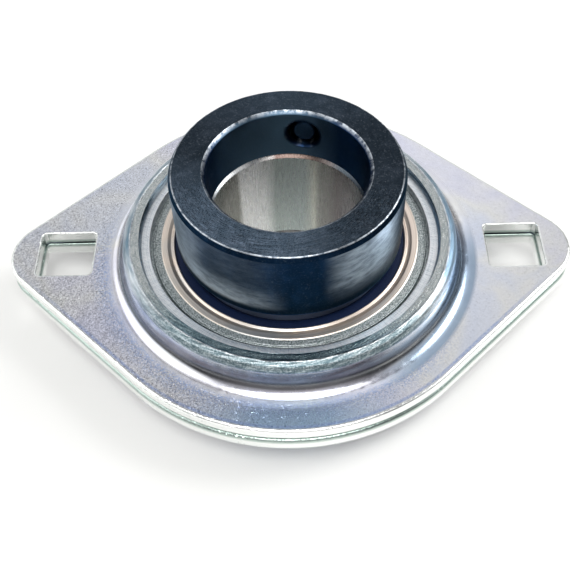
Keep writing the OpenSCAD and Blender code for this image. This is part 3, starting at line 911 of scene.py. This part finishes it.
def black_oxide(name):
    """Oiled black oxide on a turned collar: lathe rings, painted highlights as hazy patches,
    painted shade, and a rubbed top edge that is partly a painted highlight.
    """
    look = Look(name, Metallic=1.0, Anisotropic=0.7, Anisotropic_Rotation=0.25,
                Specular_Tint=(0.50, 0.56, 0.62, 1))
    look.tangent()
    cloud = look.noise(0.3, 5, 0.62, look.stretched(1, 1, 0.7), 0.8)
    tint = look.ramp(cloud, (0.3, (0.028, 0.041, 0.056)), (0.5, (0.040, 0.056, 0.076)),
                     (0.7, (0.064, 0.084, 0.112)))
    height = look.axes()[2]
    below = look.remap(height, COLLAR_1 - 0.25, COLLAR_1 - 0.05, 1.0, 0.0)
    inside = look.remap(look.radius(), 15.6, 16.2, 1.0, 0.0)
    # the turned side and the bore: the side is bluer than the top, and darker as painted shade
    side_tint = look.mix(1.0, tint, (0.09, 0.24, 0.42), "MULTIPLY")
    # painted shade: the side dimmed toward the right
    dim = look.smooth(look.toward((1, -0.1)), 0.58, 0.90, 1.0, 0.3)
    side_tint = look.shaded(side_tint, dim, 1.0)
    # painted shade: the side darker towards the bottom
    side_tint = look.shaded(side_tint, look.smooth(height, 10.6, 14.0, 0.45, 1.0), 1.0)
    # painted light and shade in the collar's bore: brighter at the back, near black at the front
    bore_tint = look.mix(look.remap(look.toward((-0.25, 0.97)), 0.55, 0.98, 0.0, 1.0),
                         (0.006, 0.022, 0.064), (0.075, 0.135, 0.200))
    # painted highlights, as hazy patches: (facing, where it starts, heights it fades between,
    # strength)
    sheen_texture = look.noise(1.0, 4, 0.65, look.across(0.6, 1.1, 7.0))
    for facing, start, low, high, strength in (
            ((-0.82, -0.57), 0.56, 18.5, 12.5, 1.0),
            ((-0.96, -0.28), 0.84, 12.0, 14.0, 0.7),
            ((0.68, -0.73), 0.88, 12.5, 17.0, 0.75)):
        near = look.smooth(look.toward(facing), start, 1.0, 0.0, strength)
        patch = look.times(near, look.smooth(height, low, high, 0.12, 1.0))
        patch = look.times(patch, look.remap(height, 24.8, 25.0, 1.0, 0.0))
        patch = look.times(patch, look.remap(sheen_texture, 0.30, 0.62, 0.35, 1.0))
        patch = look.times(patch, look.smooth(height, 11.2, 12.6, 0.0, 1.0))
        side_tint = look.mix(patch, side_tint, (0.50, 0.59, 0.67))
    # painted shade: a dark band at the collar's base
    foot_shade = look.smooth(height, 10.3, 10.7, 1.0, 0.0)
    side_tint = look.mix(foot_shade, side_tint, (0.010, 0.030, 0.075))
    side_tint = look.mix(inside, side_tint, bore_tint)
    # the top face: painted light, brighter at the front and a little at the back, and crossed marks
    # that show strongly only at the front left and front right, where they catch the light, as
    # painted highlight in part
    lit = look.plus(look.remap(look.toward((-0.5, -0.87)), 0.3, 0.95, 0.55, 2.0),
                    look.remap(look.toward((0, 1)), 0.6, 1.0, 0.0, 0.5))
    hatch = look.plus(look.noise(1.0, 3, 0.7, look.across(9.0, 1.0, 14.0)),
                      look.noise(1.0, 3, 0.7, look.turned_by(math.radians(-48), 2.0, 8.0)))
    hatch_lit = look.math("MAXIMUM", look.smooth(look.toward((-0.55, -0.83)), 0.55, 0.92, 0.25, 1.0),
                        look.smooth(look.toward((0.72, -0.69)), 0.85, 0.97, 0.25, 1.0))
    top_tint = look.shaded(tint, lit, 1.0)
    top_tint = look.shaded(top_tint, look.remap(hatch, 0.86, 1.14, 0.25, 1.9), hatch_lit)
    tint = look.mix(below, top_tint, side_tint)
    # dust, the rubbed upper edges, whose brightness is also a painted highlight, and the screw
    # hole's opening darkened as painted shade
    dust = look.noise(2.6, 4, 0.75)
    dusted = look.times(look.remap(dust, 0.54, 0.76, 0.0, 0.5), look.remap(below, 0, 1, 1.0, 0.35))
    tint = look.mix(dusted, tint, (0.22, 0.25, 0.29))
    # rubbed edges, brightened further as painted highlight
    worn_and_lit = look.times(look.attribute("wear_and_highlight"),
                      look.remap(look.noise(0.8, 4, 0.7), 0.40, 0.56, 0.1, 1.0))
    tint = look.mix(worn_and_lit, tint, (0.58, 0.63, 0.68))
    aside = look.vector("DISTANCE", look.turned_by(-SCREW_ANGLE, 0.0, 1.0), (0, 0, SCREW_Z),
                        out="Value")
    screw_side = look.toward((math.cos(SCREW_ANGLE), math.sin(SCREW_ANGLE)))
    # painted shade: the opening of the screw's hole darkened
    mouth_shade = look.times(look.smooth(aside, SCREW_R + 0.3, SCREW_R + 1.0, 0.9, 0.0),
                       look.remap(screw_side, 0.4, 0.5, 0.0, 1.0))
    tint = look.mix(look.times(mouth_shade, inside), tint, (0.004, 0.014, 0.045))
    rings = look.noise(1.0, 3, 0.6, look.across(5.5, 5.5, 2.0))
    fine = look.noise(5.0, 3, 0.6)
    marks = look.plus(rings, look.times(fine, 0.5))
    normal = look.bump(marks, 0.04, look.remap(height, 10.4, 11.4, 0.0, 0.4))
    rough = look.remap(look.noise(0.5, 4, 0.6), 0.3, 0.7, 0.28, 0.42)
    return look.finish(Base_Color=tint, Roughness=rough, Normal=normal)


def stamped_shield(name):
    """Satin shield steel: a grained outer band and warm smooth inner bands."""
    look = Look(name, Metallic=1.0)
    rings = look.noise(1.0, 2, 0.5, look.across(3.5, 2, 0.8))
    warmth = look.noise(0.07, 2, 0.5)
    tint = look.ramp(warmth, (0.38, (0.70, 0.67, 0.63)), (0.5, (0.84, 0.74, 0.64)),
                     (0.62, (0.92, 0.80, 0.70)))
    tint = look.shaded(tint, look.remap(rings, 0.35, 0.65, 0.86, 1.08), 1.0)
    outside = look.remap(look.radius(), 25.25, 25.5, 0.0, 1.0)
    grain = look.noise(3.8, 3, 0.75)
    grained = look.ramp(grain, (0.38, (0.14, 0.17, 0.17)), (0.5, (0.34, 0.38, 0.38)),
                        (0.64, (0.66, 0.70, 0.70)))
    tint = look.mix(outside, tint, grained)
    rough = look.remap(rings, 0.3, 0.7, 0.34, 0.44)
    normal = look.bump(look.times(grain, outside), 0.08, 0.6)
    return look.finish(Base_Color=tint, Roughness=rough, Normal=normal)


def seal_rubber(name):
    """Dark nitrile rubber with a faint grain."""
    look = Look(name, Roughness=0.42, Specular_IOR_Level=0.2)
    grain = look.noise(4.0, 4, 0.6)
    tint = look.ramp(grain, (0.35, (0.002, 0.007, 0.026)), (0.65, (0.006, 0.014, 0.046)))
    return look.finish(Base_Color=tint, Normal=look.bump(grain, 0.02, 0.5))


def ball_steel(name):
    """Polished ball steel with a light haze."""
    look = Look(name, Metallic=1.0)
    haze = look.noise(1.5, 4, 0.6)
    tint = look.ramp(haze, (0.3, (0.70, 0.71, 0.73)), (0.7, (0.86, 0.87, 0.88)))
    return look.finish(Base_Color=tint, Roughness=look.remap(haze, 0.3, 0.7, 0.05, 0.12))


def cage_steel(name):
    """Pressed cage steel with an oily tone."""
    look = Look(name, Metallic=1.0)
    grain = look.noise(2.4, 4, 0.6)
    tint = look.ramp(grain, (0.3, (0.44, 0.41, 0.36)), (0.7, (0.66, 0.63, 0.57)))
    rough = look.remap(grain, 0.3, 0.7, 0.28, 0.44)
    return look.finish(Base_Color=tint, Roughness=rough, Normal=look.bump(grain, 0.02, 0.5))


# Assembly -------------------------------------------------------------

def build():
    """Puts every piece on its body; the parts inside keep the CAD's mesh."""
    dark_oxide = black_oxide("black_oxide")
    ring_steel = ground_steel("ring_steel")
    shield_steel = stamped_shield("shield_steel")
    rubber = seal_rubber("seal_rubber")
    piece("front_pressing", pressing(1, 0.0), zinc("zinc_front", 0.0),
          "housing", ["front_flange"])
    piece("rear_pressing", pressing(-1, 31.0), zinc("zinc_rear", 57.0),
          "housing", ["rear_flange"])
    piece("ball_race_outer", outer_ring(), ring_steel, "insert", ["outer_ring"])
    piece("ball_race_inner", inner_ring(), bore_steel("bore_steel"),
          "shaft_ring", ["inner_ring"])
    piece("collar", locking_collar(), dark_oxide, "collar", ["locking_collar"])
    piece("collar_screw", set_screw(), dark_oxide, "screw", ["set_screw"], 50)
    for side, word in ((1, "front"), (-1, "rear")):
        piece(f"shield_{word}", shield(side), shield_steel, "insert",
              [f"{word}_shield"])
        piece(f"seal_{word}", seal(side), rubber, "insert", [f"{word}_seal"])
    inside = {"cage": cage_steel("cage_steel"), "ball": ball_steel("ball_steel")}
    for node, obj in frame["nodes"].items():
        kind = node.split("_")[0]
        if kind in inside:
            obj.data.materials.clear()
            obj.data.materials.append(inside[kind])
            weld = obj.modifiers.new("join the faces' edges", "WELD")
            weld.merge_threshold = 1e-6


# Floor, light and camera ----------------------------------------------

FLOOR_SIZE = 3.0
SURROUND = (0.12, 0.12, 0.13)
# What the camera itself sees behind the floor
BACKDROP = (1.0, 1.0, 1.0)
# ((azimuth, elevation), inner and outer half angle, colour, strength)
PANELS = [
    ((0, 68), 13, 24, (1.0, 1.0, 1.0), 6.0),
    ((180, 24), 14, 42, (0.96, 0.98, 1.0), 0.50),
    ((180, 56), 8, 26, (1.0, 1.0, 1.0), 0.34),
    ((150, 40), 14, 36, (1.0, 0.99, 0.96), 0.10),
    ((274, 33), 18, 38, (1.0, 1.0, 1.0), 1.7),
    ((84, 32), 12, 30, (1.0, 1.0, 1.0), 0.7),
    ((226, 26), 8, 20, (1.0, 1.0, 1.0), 0.9),
    ((0, 14), 16, 46, (1.0, 0.97, 0.97), 0.6),
]
LAMP_FACING = (108, 43)
LAMP_DISTANCE = 0.8
LAMP_SIZE = 0.4
LAMP_ENERGY = 3.4

CAM_AZIMUTH = math.radians(0.82)
CAM_ELEVATION = math.radians(52.09)
CAM_ROLL = math.radians(1.841)
# Millimetres to the origin, and sideways and up from it
CAM_DISTANCE = 189.951
CAM_ASIDE = (0.014, 6.412)
# Focal length in pixels of a square image of this side
CAM_FOCAL = 927.418
IMAGE_SIDE = 580
SENSOR = 36


def floor():
    """A plain pale floor under the rear half."""
    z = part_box("rear_flange")[0].z
    bm = bmesh.new()
    bmesh.ops.create_grid(bm, x_segments=1, y_segments=1, size=FLOOR_SIZE)
    mesh = bpy.data.meshes.new("floor")
    bm.to_mesh(mesh)
    bm.free()
    look = Look("pale_floor", Roughness=0.6, Emission_Color=(1, 1, 1, 1), Emission_Strength=0.04)
    tint = look.ramp(look.noise(0.02, 2, 0.5), (0.3, (0.70, 0.70, 0.68)), (0.7, (0.73, 0.73, 0.71)))
    look.finish(Base_Color=tint)
    mesh.materials.append(look.material)
    obj = bpy.data.objects.new("floor", mesh)
    obj.location.z = z
    bpy.context.scene.collection.objects.link(obj)


def direction(azimuth, elevation):
    """Unit vector; azimuth 0 is behind the camera, 90 to its right, 180 ahead."""
    a, e = math.radians(azimuth), math.radians(elevation)
    return (math.sin(a) * math.cos(e), -math.cos(a) * math.cos(e), math.sin(e))


def world():
    """A pale studio: soft panels around a dim surround."""
    scene_world = bpy.data.worlds.new("studio")
    bpy.context.scene.world = scene_world
    scene_world.use_nodes = True
    tree = scene_world.node_tree
    tree.nodes.clear()
    ray = tree.nodes.new("ShaderNodeTexCoord").outputs["Generated"]

    def add(kind, inputs, **settings):
        return add_node(tree, kind, inputs, **settings).outputs

    unit = add("ShaderNodeVectorMath", {0: ray}, operation="NORMALIZE")[0]
    total = None
    for (azimuth, elevation), inner, outer, colour, strength in PANELS:
        facing = add("ShaderNodeVectorMath", {0: unit, 1: direction(azimuth, elevation)},
                     operation="DOT_PRODUCT")["Value"]
        spot = add("ShaderNodeMapRange", {
            "Value": facing, "From Min": math.cos(math.radians(outer)),
            "From Max": math.cos(math.radians(inner)), "To Min": 0.0, "To Max": strength,
        }, interpolation_type="SMOOTHSTEP")[0]
        lit = add("ShaderNodeVectorMath", {0: colour, "Scale": spot}, operation="SCALE")[0]
        if total is None:
            total = lit
        else:
            total = add("ShaderNodeVectorMath", {0: total, 1: lit}, operation="ADD")[0]
    total = add("ShaderNodeVectorMath", {0: total, 1: SURROUND}, operation="ADD")[0]
    seen = add("ShaderNodeLightPath", {})["Is Camera Ray"]
    total = add("ShaderNodeMix", {"Factor": seen, "A": total, "B": BACKDROP}, data_type="VECTOR")[1]
    back = add("ShaderNodeBackground", {"Color": total, "Strength": 1.0})[0]
    out = tree.nodes.new("ShaderNodeOutputWorld")
    tree.links.new(back, out.inputs["Surface"])


def key_light():
    """A soft lamp from the back right, which sets the shadow's side."""
    lamp = bpy.data.lights.new("key", "AREA")
    lamp.shape = "DISK"
    lamp.size = LAMP_SIZE
    lamp.energy = LAMP_ENERGY
    obj = bpy.data.objects.new("key", lamp)
    where = Vector(direction(*LAMP_FACING)) * LAMP_DISTANCE
    obj.location = where
    obj.rotation_euler = (-where).to_track_quat("-Z", "Y").to_euler()
    bpy.context.scene.collection.objects.link(obj)


def camera():
    cam = bpy.data.cameras.new("camera")
    cam.sensor_width = SENSOR
    cam.lens = CAM_FOCAL / IMAGE_SIDE * SENSOR
    cam.clip_start, cam.clip_end = 0.01, 10
    right = Vector((math.cos(CAM_AZIMUTH), math.sin(CAM_AZIMUTH), 0))
    back = Vector((math.sin(CAM_AZIMUTH) * math.cos(CAM_ELEVATION),
                   -math.cos(CAM_AZIMUTH) * math.cos(CAM_ELEVATION), math.sin(CAM_ELEVATION)))
    up = back.cross(right)
    tilt_right = right * math.cos(CAM_ROLL) - up * math.sin(CAM_ROLL)
    tilt_up = right * math.sin(CAM_ROLL) + up * math.cos(CAM_ROLL)
    axes = Matrix((tilt_right, tilt_up, back)).transposed()
    obj = bpy.data.objects.new("camera", cam)
    obj.matrix_world = Matrix.Translation(
        axes @ Vector((-CAM_ASIDE[0], -CAM_ASIDE[1], CAM_DISTANCE)) * MM) @ axes.to_4x4()
    bpy.context.scene.collection.objects.link(obj)
    bpy.context.scene.camera = obj


build()
floor()
world()
key_light()
camera()
bpy.context.scene.view_settings.view_transform = "Standard"
bpy.context.scene.view_settings.look = "None"
bpy.context.scene.view_settings.exposure = 0.0
